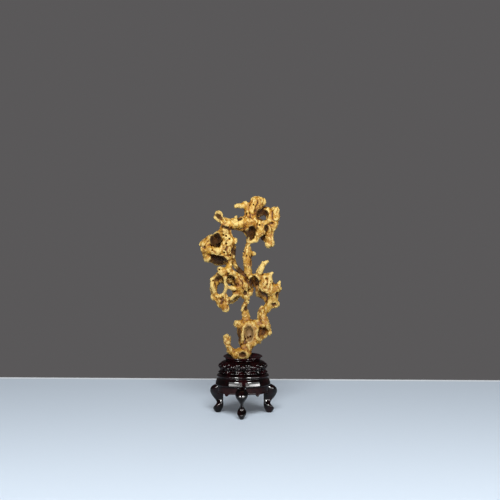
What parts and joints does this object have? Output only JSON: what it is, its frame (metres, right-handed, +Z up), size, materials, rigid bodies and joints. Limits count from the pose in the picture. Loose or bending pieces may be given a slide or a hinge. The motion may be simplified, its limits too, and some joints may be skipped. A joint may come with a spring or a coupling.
{
  "type": "scholar's rock on a stand",
  "caption": "Tall, branching, perforated ochre stone standing in a shallow dish on a dark lacquered wooden stand with a carved band, aprons and cabriole legs.",
  "frame": {"origin": "middle of the bounding box at the level of the soles, where the stand meets the table", "axes": "+Z up, -Y the side with one leg in front and the stone's hollows facing the viewer, +X to the viewer's right"},
  "size_m": [0.1672, 0.1306, 0.4394],
  "materials": {
    "stone": "golden ochre, weathered, with creamy ridges, brown hollows and fine pores",
    "lacquered_wood": "near-black wine-red lacquer, high gloss",
    "apron_wood": "red-brown lacquer, satin"
  },
  "bodies": {
    "root": {"rock": "stone", "stand_dish": "lacquered_wood", "stand_band": "lacquered_wood", "stand_body": "lacquered_wood", "stand_leg_front": "lacquered_wood", "stand_leg_right": "lacquered_wood", "stand_leg_left": "lacquered_wood", "stand_apron_right": "apron_wood", "stand_apron_rear": "apron_wood", "stand_apron_left": "apron_wood"}
  },
  "joints": []
}
